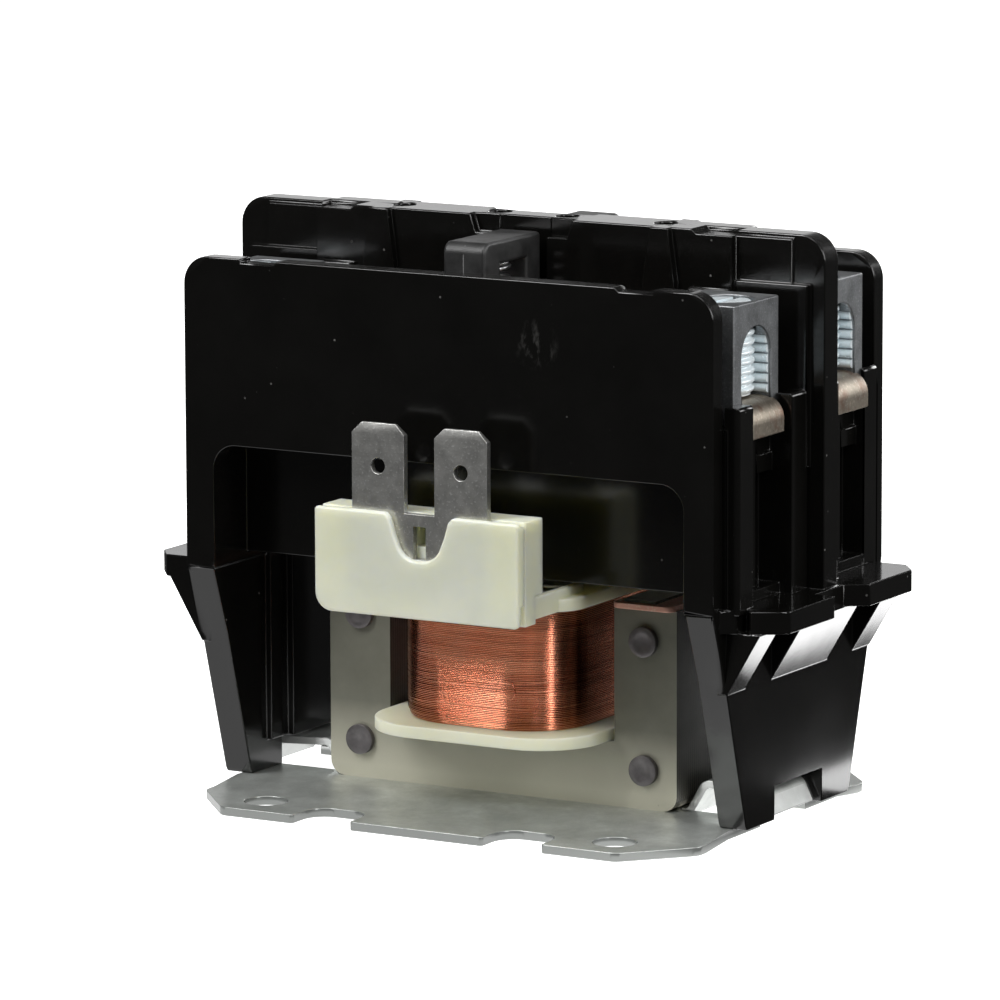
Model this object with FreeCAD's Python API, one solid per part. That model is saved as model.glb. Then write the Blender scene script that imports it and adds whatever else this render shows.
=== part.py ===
"""Open-frame two-pole contactor: plate, laminated magnet, exposed coil, moulded housing and two switched poles.

Frame: +X along the long walls (the current path), +Y towards the rear pole, +Z up, millimetres.
The origin is the centre of the footprint on the mounting surface. The rear half is the front half
turned half a turn about Z, so most shapes are drawn once and repeated.
"""
import FreeCAD, Part
import math
import os

V = FreeCAD.Vector
OUT = "parts"

# ---- mounting plate ----
PLATE_T = 1.0
SHELF_Z = 0.5             # the middle of the plate is pressed up by this much
SEAT_Z = SHELF_Z + PLATE_T
PLATE_SIDE_X = 30.2
PLATE_TIP_Y = 18.8
PLATE_FRONT_X = 24.0
PLATE_FRONT_Y = 25.6
HOLE_X, HOLE_Y, HOLE_R = 21.3, 20.8, 2.4
NOTCH_X0, NOTCH_X1, NOTCH_DEPTH, NOTCH_R = 8.1, 15.1, 4.9, 2.4
SHELF_Y, SLOPE_Y = 12.4, 17.2    # the pressed-up middle is level to SHELF_Y and slopes down to SLOPE_Y
TONGUE_HALF_W = 4.5
TONGUE_X0 = 20.4

# ---- magnet core and armature (E-shaped lamination stacks) ----
STACK_HALF = 7.3
CORE_X = 21.3
LEG_INNER_X = 13.8
CENTRE_LEG_X = 6.3
YOKE_H = 7.0
CORE_TOP = 24.0
CORE_CHAMFER = 1.7
CENTRE_GAP = 0.15         # the centre leg stops this far below the outer pole faces
RIVET_X, RIVET_R, RIVET_HEAD_R, RIVET_HEAD_H = 17.45, 1.2, 1.65, 0.6
RIVET_ZS = (5.75, 19.6)
POLE_X0, POLE_X1 = 15.0, 18.8    # the raised part of an outer pole face, inside its shading ring
RING_Z0, RING_Z1 = 23.1, 23.75
RING_PROUD = 1.0
TRAVEL = 4.4              # armature travel from released to sealed
SEALED_GAP = 0.05
ARM_Z0 = CORE_TOP + SEALED_GAP + TRAVEL
ARM_H = 7.4
ARM_WINDOW = 2.0
ARM_TOP = ARM_Z0 + ARM_H
PIN_R = 1.25
PIN_Z = ARM_Z0 + 4.0
ARM_RIVET_Z = ARM_Z0 + 3.9

# ---- coil ----
TUBE_CLEAR, TUBE_WALL, TUBE_R = 0.3, 1.2, 1.4
FLANGE_T = 1.35
FOOT_X, FOOT_Y, FOOT_R = 13.3, 16.5, 7.0      # lower flange
HEAD_X, HEAD_Y, HEAD_R = 12.5, 15.4, 3.8      # upper flange
WIND_X, WIND_Y, WIND_R = 10.6, 14.1, 7.0
BOBBIN_Z0 = SEAT_Z + YOKE_H
BOBBIN_TOP = 24.7
TOWER_X = 12.3
TOWER_Z0, TOWER_Z1 = 23.3, 34.4
COVER_Y = 25.3            # outer face of the terminal cover
COVER_T = 0.9
TERM_T = 0.8
TERM_Y = COVER_Y - COVER_T
LAYER_T, BACK_T = 2.2, 1.5
NECK_X = 11.1            # neck between the block and the upper flange, with a rib along each edge
RIB_T, RIB_H, RIB_Y = 0.9, 1.0, 9.0
LEAD_X, LEAD_R = 7.0, 0.25

# ---- coil terminals: 6.35 x 0.8 mm tabs ----
TAB_W, TAB_PITCH, TAB_TOP, TAB_HOLE_R, TAB_HOLE_Z = 6.35, 10.0, 43.6, 0.85, 39.1
TERM_HALF_X = TAB_PITCH / 2 + TAB_W / 2
WEB_TOP = 34.3
SLOT_HALF_W, SLOT_Z0, SLOT_Z1 = 0.75, 29.5, 33.0

# ---- housing ----
WALL_X, DEPTH_Y = 32.0, 19.3
WALL_T = 2.2
WALL_TOP, WALL_R = 59.0, 3.0
CENTRE_X, CENTRE_T, CENTRE_TOP = 35.7, 3.04, 63.2
CENTRE_THICK_X, CENTRE_THICK = 25.4, 5.8
LEDGE_TOP = 25.8          # top of the side flange
LEDGE_T = 2.4
WINDOW_X, WINDOW_TOP, WINDOW_R = 28.5, 38.8, 2.7
FLOOR_T = 2.0
INNER_Y, INNER_T, INNER_Z0 = 12.6, 1.2, 26.25
END_X = 32.4              # outer face of the end walls under the terminals
POST_X, POST_TOP = 33.9, 47.0
LEG_T = 3.3
WEDGE_X, WEDGE_Z0 = 36.0, 16.7
WEDGE_YS = ((-16.4, -12.2), (-6.3, 6.3), (12.2, 16.4))
POLE_Y = 9.6              # centre of each pole's terminals
STRAP_Z, STRAP_T, STRAP_W, TONGUE_W = 46.0, 0.9, 6.0, 7.0
LUG_X0, LUG_X1, LUG_HALF_W, LUG_TOP, LUG_FLOOR = 23.2, 31.9, 5.0, 57.2, 1.4
ARCH_R, ARCH_TOP = 3.2, 54.5
STRAP_BEND, LUG_EDGE_R = 1.95, 1.4
SCREW_R, SCREW_X, SCREW_CLEAR = 3.1, 28.2, 0.05
SCREW_Z0, SCREW_Z1 = 47.2, 57.0

# ---- moving contacts ----
BAR_HALF = 2.5            # half width of the carrier's arches
ARCH_Y0, ARCH_Y1 = 2.9, 15.0
CARRIER_TOP, ARCH_CROWN = 61.8, 2.5
SEAT_TOP, SEAT_BOTTOM = 52.4, 47.5
STEM_Y1, OUTER_LEG_Y0 = 6.0, 11.4
BRIDGE_Y, BRIDGE_HALF_W, BRIDGE_X, BRIDGE_T = 8.7, 2.5, 13.0, 1.4
TIP_X, TIP_R, TIP_T = 10.5, 2.3, 1.2
FIXED_TIP_T = 1.08
SPRING_R, SPRING_BORE = 1.9, 1.3
RETURN_R, RETURN_BORE, RETURN_X, RETURN_Y = 1.8, 1.2, 8.0, 9.4


def box(x0, x1, y0, y1, z0, z1):
    """A box between two corners, given in any order."""
    lows = [min(pair) for pair in ((x0, x1), (y0, y1), (z0, z1))]
    spans = [abs(x1 - x0), abs(y1 - y0), abs(z1 - z0)]
    return Part.makeBox(*spans, V(*lows))


def cylinder(radius, start, end):
    """A round bar from one point to another."""
    a, b = V(*start), V(*end)
    return Part.makeCylinder(radius, (b - a).Length, a, b - a)


def place(axis, u, v, w):
    """A point with (u, v) in the plane across an axis and w along the axis."""
    return {"x": V(w, u, v), "y": V(u, w, v), "z": V(u, v, w)}[axis]


def rounded_edges(points, radii, closed):
    """Straight edges through 3-D points, with a tangent arc of the given radius at each corner."""
    count = len(points)
    starts, ends, arcs = [], [], []
    for i, point in enumerate(points):
        radius = radii[i]
        inside = closed or 0 < i < count - 1
        if not inside or radius <= 0:
            starts.append(point)
            ends.append(point)
            arcs.append(None)
            continue
        back = (points[i - 1] - point).normalize()
        ahead = (points[(i + 1) % count] - point).normalize()
        half = back.getAngle(ahead) / 2
        reach = radius / math.tan(half)
        middle = (back + ahead).normalize()
        starts.append(point + back * reach)
        ends.append(point + ahead * reach)
        arcs.append(point + middle * (radius / math.sin(half) - radius))
    edges = []
    for i in range(count if closed else count - 1):
        following = (i + 1) % count
        if (starts[following] - ends[i]).Length > 1e-6:
            edges.append(Part.LineSegment(ends[i], starts[following]).toShape())
        if arcs[following] is not None:
            arc = Part.Arc(starts[following], arcs[following], ends[following])
            edges.append(arc.toShape())
    return edges


def prism(axis, outline, low, high, radius=0.0):
    """An outline of (u, v) or (u, v, corner radius), extruded along an axis from low to high."""
    points = [place(axis, p[0], p[1], low) for p in outline]
    radii = [p[2] if len(p) > 2 else radius for p in outline]
    face = Part.Face(Part.Wire(rounded_edges(points, radii, True)))
    return face.extrude(place(axis, 0, 0, high) - place(axis, 0, 0, low))


def rounded_slab(half_x, half_y, z0, z1, radius):
    """A plate on z with rounded vertical corners."""
    corners = [(-half_x, -half_y), (half_x, -half_y), (half_x, half_y), (-half_x, half_y)]
    return prism("z", corners, z0, z1, radius)


def ribbon(path, thickness, radius, y0, y1):
    """A strip of constant thickness whose edge follows a path of (x, z) points with round bends."""
    sides = []
    for offset in (thickness / 2, -thickness / 2):
        side = []
        for i, (x, z) in enumerate(path):
            before = V(x - path[i - 1][0], 0, z - path[i - 1][1]) if i else None
            after = V(path[i + 1][0] - x, 0, path[i + 1][1] - z) if i + 1 < len(path) else None
            before = (before or after).normalize()
            after = (after or before).normalize()
            across = V(-before.z, 0, before.x) + V(-after.z, 0, after.x)
            across.normalize()
            stretch = 1 / across.dot(V(-after.z, 0, after.x))
            point = V(x, 0, z) + across * offset * stretch
            turn = before.cross(after).y
            side.append((point.x, point.z, max(radius + math.copysign(offset, turn * offset) *
                                               (1 if turn else 0), 0.0)))
        sides.append(side)
    outline = [p if 0 < i < len(path) - 1 else p[:2] + (0.0,) for i, p in enumerate(sides[0])]
    outline += [p if 0 < i < len(path) - 1 else p[:2] + (0.0,)
                for i, p in reversed(list(enumerate(sides[1])))]
    return prism("y", outline, y0, y1)


def fuse(shapes):
    """One clean solid from several touching or overlapping ones."""
    first, *rest = shapes
    return first.multiFuse(rest).removeSplitter() if rest else first


def cut(shape, tools):
    return shape.cut(tools).removeSplitter()


def mirror_x(shape):
    return shape.mirror(V(0, 0, 0), V(1, 0, 0))


def mirror_y(shape):
    return shape.mirror(V(0, 0, 0), V(0, 1, 0))


def half_turn(shape):
    """The same shape turned half a turn about the vertical centre line."""
    turned = shape.copy()
    turned.rotate(V(0, 0, 0), V(0, 0, 1), 180)
    return turned


def pair_x(shape):
    return [shape, mirror_x(shape)]


def four(shape):
    """A shape and its mirror images in both vertical planes."""
    return [shape, mirror_x(shape), mirror_y(shape), mirror_x(mirror_y(shape))]


def save(name, *solids):
    """Write one node: a single solid, or a group of separate ones."""
    shape = solids[0] if len(solids) == 1 else Part.makeCompound(list(solids))
    shape.exportStep(os.path.join(OUT, name + ".step"))


# ---- mounting plate ----

def plate_outline():
    """The plan of the plate: four chamfered ears and two open notches in each long edge."""
    front = [(-PLATE_SIDE_X, -PLATE_TIP_Y, 2.0), (-PLATE_FRONT_X, -PLATE_FRONT_Y, 1.5)]
    bottom = -PLATE_FRONT_Y + NOTCH_DEPTH
    for x0, x1 in ((-NOTCH_X1, -NOTCH_X0), (NOTCH_X0, NOTCH_X1)):
        front += [(x0, -PLATE_FRONT_Y, 0.4), (x0, bottom, NOTCH_R)]
        front += [(x1, bottom, NOTCH_R), (x1, -PLATE_FRONT_Y, 0.4)]
    front += [(PLATE_FRONT_X, -PLATE_FRONT_Y, 1.5), (PLATE_SIDE_X, -PLATE_TIP_Y, 2.0)]
    return front + [(-x, -y, r) for x, y, r in front]


def mounting_plate():
    """Zinc-plated sheet, its middle pressed up, with a lanced tongue at each end to hold the housing."""
    ears = prism("z", plate_outline(), 0, PLATE_T)
    rise = [(-SLOPE_Y, 0, 0), (-SHELF_Y, SHELF_Z, 0), (SHELF_Y, SHELF_Z, 0), (SLOPE_Y, 0, 0)]
    hollow = prism("x", rise, -PLATE_SIDE_X, PLATE_SIDE_X)
    middle = hollow.translated(V(0, 0, PLATE_T))
    slot = box(TONGUE_X0, PLATE_SIDE_X + 1, -TONGUE_HALF_W - 0.6, TONGUE_HALF_W + 0.6, -1, SEAT_Z + 1)
    holes = [cylinder(HOLE_R, (x, y, -1), (x, y, SEAT_Z + 1))
             for x in (-HOLE_X, HOLE_X) for y in (-HOLE_Y, HOLE_Y)]
    body = cut(fuse([ears, middle]), [hollow] + pair_x(slot) + holes)
    level = SEAT_Z - PLATE_T / 2
    path = [(TONGUE_X0 - 0.4, level), (21.3, level), (23.2, 4.35), (29.9, 3.95), (31.0, 1.6)]
    tongue = ribbon(path, 0.9, 1.0, -TONGUE_HALF_W, TONGUE_HALF_W)
    return fuse([body] + pair_x(tongue))


# ---- magnet ----

def magnet_core():
    """Riveted E stack, its outer legs stepped to seat the shading rings."""
    low = SEAT_Z
    yoke = prism("y", [(-CORE_X, low, CORE_CHAMFER), (CORE_X, low, CORE_CHAMFER),
                       (CORE_X, low + YOKE_H), (-CORE_X, low + YOKE_H)], -STACK_HALF, STACK_HALF)
    leg = box(LEG_INNER_X, CORE_X, -STACK_HALF, STACK_HALF, low + 3, RING_Z0)
    pole = box(POLE_X0, POLE_X1, -STACK_HALF, STACK_HALF, RING_Z0 - 1, CORE_TOP)
    centre = box(-CENTRE_LEG_X, CENTRE_LEG_X, -STACK_HALF, STACK_HALF, low + 1, CORE_TOP - CENTRE_GAP)
    bores = [cylinder(RIVET_R, (x, -STACK_HALF - 1, z), (x, STACK_HALF + 1, z))
             for x in (-RIVET_X, RIVET_X) for z in RIVET_ZS]
    return cut(fuse([yoke, centre] + pair_x(leg) + pair_x(pole)), bores)


def rivet(x, z):
    """A rivet through a stack, with a low head on each side."""
    shank = cylinder(RIVET_R, (x, -STACK_HALF, z), (x, STACK_HALF, z))
    heads = [cylinder(RIVET_HEAD_R, (x, s * STACK_HALF, z), (x, s * (STACK_HALF + RIVET_HEAD_H), z))
             for s in (-1, 1)]
    return fuse([shank] + heads)


def shading_ring():
    """Copper ring round one outer pole face."""
    front = STACK_HALF + RING_PROUD
    outer = prism("z", [(LEG_INNER_X + 0.1, -front), (CORE_X - 0.1, -front), (CORE_X - 0.1, front),
                        (LEG_INNER_X + 0.1, front)], RING_Z0, RING_Z1, RING_PROUD)
    pole = box(POLE_X0, POLE_X1, -STACK_HALF, STACK_HALF, 0, CORE_TOP)
    return cut(outer, [pole])


def armature():
    """The moving stack: a bar with three short poles, cross-bored for its pin and rivets."""
    bar = box(-CORE_X, CORE_X, -STACK_HALF, STACK_HALF, ARM_Z0, ARM_TOP)
    window = box(CENTRE_LEG_X, LEG_INNER_X, -STACK_HALF - 1, STACK_HALF + 1, ARM_Z0 - 1, ARM_Z0 + ARM_WINDOW)
    bores = [cylinder(RIVET_R, (x, -STACK_HALF - 1, ARM_RIVET_Z), (x, STACK_HALF + 1, ARM_RIVET_Z))
             for x in (-RIVET_X, RIVET_X)]
    pin_bore = cylinder(PIN_R + 0.05, (0, -STACK_HALF - 1, PIN_Z), (0, STACK_HALF + 1, PIN_Z))
    return cut(bar, pair_x(window) + bores + [pin_bore])


# ---- coil ----

def coil_bobbin():
    """Nylon spool with a terminal block standing out at the front and, half a turn round, at the rear."""
    inner_x, inner_y = CENTRE_LEG_X + TUBE_CLEAR, STACK_HALF + TUBE_CLEAR
    tube = rounded_slab(inner_x + TUBE_WALL, inner_y + TUBE_WALL, BOBBIN_Z0, BOBBIN_TOP, TUBE_R)
    flanges = [rounded_slab(FOOT_X, FOOT_Y, BOBBIN_Z0, BOBBIN_Z0 + FLANGE_T, FOOT_R),
               rounded_slab(HEAD_X, HEAD_Y, BOBBIN_TOP - FLANGE_T, BOBBIN_TOP, HEAD_R)]
    layer_y = TERM_Y - TERM_T
    back_y = layer_y - LAYER_T
    layer = box(-TOWER_X, TOWER_X, -layer_y, -back_y, TOWER_Z0, TOWER_Z1)
    back = box(-TOWER_X, TOWER_X, -back_y, -back_y + BACK_T, TOWER_Z0 + 3, TOWER_Z1)
    neck = box(-NECK_X, NECK_X, -back_y, -HEAD_Y + HEAD_R, BOBBIN_TOP - FLANGE_T, BOBBIN_TOP)
    rib = box(NECK_X - RIB_T, NECK_X, -back_y, -RIB_Y, BOBBIN_TOP, BOBBIN_TOP + RIB_H)
    block = fuse([layer, back, neck] + pair_x(rib))
    groove = box(LEAD_X - 0.4, LEAD_X + 0.4, -TERM_Y, -WIND_Y + 1.6, TOWER_Z0 - 1, TOWER_Z0 + 1.2)
    window = box(-SLOT_HALF_W, SLOT_HALF_W, -TERM_Y, -back_y + BACK_T + 1, SLOT_Z1 - 2.2, SLOT_Z1)
    block = cut(block, [groove, window])
    bore = box(-inner_x, inner_x, -inner_y, inner_y, 0, BOBBIN_TOP + 1)
    body = cut(fuse([tube] + flanges + [block, half_turn(block)]), [bore, groove, half_turn(groove)])
    return body


def coil_winding():
    """The wound copper as one block between the flanges."""
    low, high = BOBBIN_Z0 + FLANGE_T, BOBBIN_TOP - FLANGE_T
    block = rounded_slab(WIND_X, WIND_Y, low, high, WIND_R)
    tube_x = CENTRE_LEG_X + TUBE_CLEAR + TUBE_WALL
    tube_y = STACK_HALF + TUBE_CLEAR + TUBE_WALL
    return cut(block, [rounded_slab(tube_x, tube_y, low - 1, high + 1, TUBE_R)])


def coil_lead():
    """One winding end: up out of the winding and along the bobbin's groove to the terminal."""
    low, level, start = BOBBIN_TOP - FLANGE_T, TOWER_Z0 + 0.7, -WIND_Y + 1.2
    rise = cylinder(LEAD_R, (LEAD_X, start, low), (LEAD_X, start, level))
    run = cylinder(LEAD_R, (LEAD_X, start, level), (LEAD_X, -TERM_Y + TERM_T, level))
    knee = Part.makeSphere(LEAD_R, V(LEAD_X, start, level))
    return fuse([rise, run, knee])


def terminal_cover():
    """Front plate of a terminal block, scooped out between the tabs."""
    plate = prism("y", [(-TOWER_X, TOWER_Z0, 2.0), (TOWER_X, TOWER_Z0, 0.6), (TOWER_X, TOWER_Z1, 0.4),
                        (-TOWER_X, TOWER_Z1, 0.4)], -COVER_Y, -TERM_Y)
    side = box(TERM_HALF_X + 0.2, TOWER_X, -TERM_Y, -TERM_Y + TERM_T, TOWER_Z0 + 2.2, TOWER_Z1 - 0.4)
    top, low = TOWER_Z1, TOWER_Z1 - 4.9
    scoop = prism("y", [(-4.4, top + 0.6, 0), (-3.2, top - 0.5, 0.8), (-2.7, top - 2.2, 3.0), (-1.6, low, 2.4),
                        (2.3, low, 2.4), (3.4, top - 2.2, 3.0), (3.9, top - 0.5, 0.8), (5.1, top + 0.6, 0)],
                  -COVER_Y - 1, -TERM_Y + 1)
    return cut(fuse([plate] + pair_x(side)), [scoop])


def coil_terminal():
    """One stamping with two quick-connect tabs, a slotted web and a tail for the winding end."""
    inner = TAB_PITCH / 2 - TAB_W / 2
    body = box(-TERM_HALF_X, TERM_HALF_X, -TERM_Y, -TERM_Y + TERM_T, TOWER_Z0 + 2.4, WEB_TOP)
    tab = prism("y", [(inner, WEB_TOP - 1), (TERM_HALF_X, WEB_TOP - 1), (TERM_HALF_X, TAB_TOP - 1.1),
                      (TERM_HALF_X - 1.1, TAB_TOP), (inner + 1.1, TAB_TOP), (inner, TAB_TOP - 1.1)],
                -TERM_Y, -TERM_Y + TERM_T)
    hole = cylinder(TAB_HOLE_R, (TAB_PITCH / 2, -COVER_Y, TAB_HOLE_Z), (TAB_PITCH / 2, -TERM_Y + 2, TAB_HOLE_Z))
    slot = box(-SLOT_HALF_W, SLOT_HALF_W, -COVER_Y, -TERM_Y + 2, SLOT_Z0, SLOT_Z1)
    tail = box(LEAD_X - 0.8, LEAD_X + 0.8, -TERM_Y, -TERM_Y + TERM_T, TOWER_Z0 + 0.2, TOWER_Z0 + 3)
    return cut(fuse([body, tail] + pair_x(tab)), pair_x(hole) + [slot])


# ---- housing ----

def long_wall():
    """The front wall, with a window for the coil and a shallow latch notch near each end of its top."""
    y0, y1 = -DEPTH_Y, -DEPTH_Y + WALL_T
    slab = prism("y", [(-WALL_X, LEDGE_TOP, 0), (WALL_X, LEDGE_TOP, 0), (WALL_X, WALL_TOP, WALL_R),
                       (-WALL_X, WALL_TOP, WALL_R)], y0, y1)
    window = prism("y", [(-WINDOW_X, LEDGE_TOP - 1, 0), (WINDOW_X, LEDGE_TOP - 1, 0),
                         (WINDOW_X, WINDOW_TOP, WINDOW_R), (-WINDOW_X, WINDOW_TOP, WINDOW_R)],
                   y0 - 1, y1 + 1)
    latch = prism("y", [(20.4, WALL_TOP + 1), (24.9, WALL_TOP + 1), (24.9, WALL_TOP - 0.45),
                        (20.9, WALL_TOP - 0.45), (20.4, WALL_TOP)], y0 - 1, y1 + 1)
    return cut(slab, [window] + pair_x(latch))


def centre_wall():
    """The barrier between the poles, with pilasters, pockets, screw holes and a channel for the carrier."""
    half = CENTRE_T / 2
    slab = prism("y", [(-CENTRE_X, WINDOW_TOP, 0), (CENTRE_X, WINDOW_TOP, 0), (CENTRE_X, CENTRE_TOP, WALL_R),
                       (-CENTRE_X, CENTRE_TOP, WALL_R)], -half, half)
    end = box(WINDOW_X - 1, CENTRE_X, -half, half, LEDGE_TOP - 1, WINDOW_TOP + 1)
    step = box(-WALL_X, WALL_X, -half - 0.4, half + 0.4, WINDOW_TOP, CENTRE_TOP - 0.5)
    ledge = box(CENTRE_THICK_X - 1, 34.0, -half - 0.8, half + 0.8, WINDOW_TOP, WALL_TOP - 1.0)
    thick = box(-CENTRE_THICK_X, CENTRE_THICK_X, -CENTRE_THICK / 2, CENTRE_THICK / 2, WINDOW_TOP, CENTRE_TOP)
    shoulder = box(20.6, 25.0, -3.9, 3.9, WINDOW_TOP, WALL_TOP - 2.0)
    pilaster = prism("y", [(15.2, WINDOW_TOP), (19.0, WINDOW_TOP), (19.0, 57.5), (18.2, CENTRE_TOP),
                           (16.0, CENTRE_TOP), (15.2, 57.5)], -3.8, 3.8)
    solid = fuse([slab, step, thick] + pair_x(end) + pair_x(ledge) + pair_x(shoulder) + pair_x(pilaster))
    channel = box(-3.1, 3.1, -4, -half - 0.1, 0, CENTRE_TOP + 1)
    pocket = prism("y", [(3.1, 61.2), (5.6, 61.2), (6.6, CENTRE_TOP + 1), (3.1, CENTRE_TOP + 1)],
                   -4, -half - 0.3)
    holes = [cylinder(1.25, (x, 0, CENTRE_TOP - 6), (x, 0, CENTRE_TOP + 1)) for x in (4.1, 16.0)]
    latch = prism("y", [(20.6, CENTRE_TOP + 1), (25.4, CENTRE_TOP + 1), (25.4, CENTRE_TOP - 0.5),
                        (21.1, CENTRE_TOP - 0.5), (20.6, CENTRE_TOP)], -4, 0.3)
    tools = [channel, mirror_y(channel)] + four(pocket) + pair_x(latch)
    for hole in holes:
        tools += pair_x(hole)
    return cut(solid, tools)


def ledge_outline():
    """The plan of the right-hand flange: two lobes with a bay between them."""
    return [(28.7, -18.3), (31.8, -18.0), (33.4, -16.6), (33.7, -15.0), (34.9, -16.4), (37.6, -14.9),
            (38.3, -14.0), (38.3, -4.0), (35.9, -3.9), (35.9, 2.6), (38.3, 4.1), (38.3, 13.9),
            (36.4, 16.4), (32.6, 16.4), (31.8, 18.0), (28.7, 18.3)]


def post(y0, y1, face_x):
    """One upright guide post on the right-hand end wall, its top edge rounded."""
    return prism("y", [(WALL_X, LEDGE_TOP - 0.5), (face_x, LEDGE_TOP - 0.5), (face_x, POST_TOP, 0.4),
                       (WALL_X, POST_TOP, 0)], y0, y1)


def wedges():
    """Three sloped blocks that carry the right-hand flange on the leg's outer face."""
    under = LEDGE_TOP - LEDGE_T
    outline = [(WALL_X - 1, WEDGE_Z0), (WALL_X, WEDGE_Z0), (WEDGE_X, under), (WALL_X - 1, under)]
    return [prism("y", outline, y0, y1) for y0, y1 in WEDGE_YS]


def end_parts():
    """Everything at the right-hand end below the terminals: end wall, posts, flange and leg."""
    half = CENTRE_T / 2
    wall = box(WINDOW_X, END_X, -DEPTH_Y + 0.1, -half, LEDGE_TOP - 0.5, STRAP_Z - LUG_FLOOR)
    skirt = box(END_X - 0.6, END_X + 1, -DEPTH_Y - 1, -DEPTH_Y + 2.3, 0, POST_TOP)
    groove = box(END_X - 2.5, END_X + 1, -13.9, -5.3, LEDGE_TOP + 1.2, 43.0)
    rib = box(END_X - 3, END_X - 0.8, -10.2, -9.0, LEDGE_TOP, 44.0)
    bay = cut(wall, [groove, skirt])
    outer, inner, flush = [post(y0, y1, x) for y0, y1, x in
                           ((-16.9, -13.9, POST_X), (-5.3, -1.8, POST_X), (-16.9, -13.9, END_X + 0.1))]
    seats = [box(LUG_X0 - 0.4, END_X - 1.2, -14.8, -4.4, WINDOW_TOP, STRAP_Z - LUG_FLOOR),
             box(5.8, LUG_X0 - 0.3, -12.8, -6.4, WINDOW_TOP, STRAP_Z)]
    pole = fuse([bay, rib, inner] + seats)
    flange = prism("z", ledge_outline(), LEDGE_TOP - LEDGE_T, LEDGE_TOP)
    foot = [(-DEPTH_Y, LEDGE_TOP), (-16.4, 17.8), (-14.2, 10.4), (-11.8, SEAT_Z + 0.5), (-11.5, SEAT_Z),
            (-5.3, SEAT_Z), (-5.3, 5.1)]
    leg = prism("x", foot + [(-y, z) for y, z in reversed(foot)], WALL_X - LEG_T, WALL_X)
    inner_x = WALL_X - LEG_T
    pads = [box(inner_x - 1.5, inner_x, -5.3, 5.3, 4.8, LEDGE_TOP + 1),
            box(inner_x - 0.7, inner_x, -8.6, 8.6, 4.8, LEDGE_TOP + 1)]
    return fuse([pole, outer, mirror_y(pole), mirror_y(flush), flange, leg] + pads + wedges())


def housing():
    """The black moulding: outer walls, barrier, trough floor, armature chamber, end walls and legs."""
    wall = long_wall()
    floor = box(-WALL_X + 0.5, WALL_X - 0.5, -DEPTH_Y + 0.1, DEPTH_Y - 0.1, WINDOW_TOP, WINDOW_TOP + FLOOR_T)
    inner = box(-WINDOW_X - 0.5, WINDOW_X + 0.5, -INNER_Y, -INNER_Y + INNER_T, INNER_Z0, WINDOW_TOP + 1)
    chamber_end = box(WINDOW_X - 1.5, WINDOW_X + 1, -INNER_Y, INNER_Y, INNER_Z0, WINDOW_TOP + 1)
    slot = box(-BAR_HALF - 0.5, BAR_HALF + 0.5, -STEM_Y1 - 0.5, -CENTRE_T / 2 - 0.1, 0, WINDOW_TOP + FLOOR_T + 1)
    end = end_parts()
    solid = fuse([wall, mirror_y(wall), floor, centre_wall(), inner, mirror_y(inner), end, half_turn(end)]
                 + pair_x(chamber_end))
    return cut(solid, [slot, mirror_y(slot)])


# ---- poles ----

def strap():
    """Fixed conductor of the front right terminal, its outer end bent down over the end wall."""
    level = STRAP_Z + STRAP_T / 2
    path = [(6.6, level), (END_X + 0.1 + STRAP_T / 2, level), (END_X + 0.1 + STRAP_T / 2, 43.1)]
    strip = ribbon(path, STRAP_T, STRAP_BEND, -POLE_Y - TONGUE_W / 2, -POLE_Y + TONGUE_W / 2)
    margins = [box(0, LUG_X1 + 0.1, -POLE_Y - s * STRAP_W / 2, -POLE_Y - s * 5, 40, 50) for s in (-1, 1)]
    return cut(strip, margins)


def fixed_tip():
    return cylinder(TIP_R, (TIP_X, -BRIDGE_Y, STRAP_Z + STRAP_T),
                    (TIP_X, -BRIDGE_Y, STRAP_Z + STRAP_T + FIXED_TIP_T))


def box_lug():
    """Box lug of the front right terminal, with an arched wire opening and a tapped hole on top."""
    y0, y1 = -POLE_Y - LUG_HALF_W, -POLE_Y + LUG_HALF_W
    block = box(LUG_X0, LUG_X1, y0, y1, STRAP_Z - LUG_FLOOR, LUG_TOP)
    spring_z = ARCH_TOP - ARCH_R
    opening = fuse([box(LUG_X0 - 1, LUG_X1 + 1, -POLE_Y - ARCH_R, -POLE_Y + ARCH_R, STRAP_Z, spring_z),
                    cylinder(ARCH_R, (LUG_X0 - 1, -POLE_Y, spring_z), (LUG_X1 + 1, -POLE_Y, spring_z))])
    tapped = cylinder(SCREW_R + SCREW_CLEAR, (SCREW_X, -POLE_Y, spring_z), (SCREW_X, -POLE_Y, LUG_TOP + 1))
    edge_x, low = LUG_X1 - LUG_EDGE_R, STRAP_Z - LUG_EDGE_R
    corner = box(edge_x, LUG_X1 + 1, -POLE_Y - ARCH_R, -POLE_Y + ARCH_R, low, STRAP_Z)
    nose = cylinder(LUG_EDGE_R, (edge_x, y0, low), (edge_x, y1, low))
    return cut(block, [opening, tapped, corner.cut(nose)])


def clamp_screw():
    """Headless clamp screw with a driver slot, run down onto the strap."""
    shank = cylinder(SCREW_R, (SCREW_X, -POLE_Y, SCREW_Z0), (SCREW_X, -POLE_Y, SCREW_Z1))
    slot = box(SCREW_X - 0.5, SCREW_X + 0.5, -POLE_Y - 5, -POLE_Y + 5, SCREW_Z1 - 1.6, SCREW_Z1 + 1)
    return cut(shank, [slot])


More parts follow.
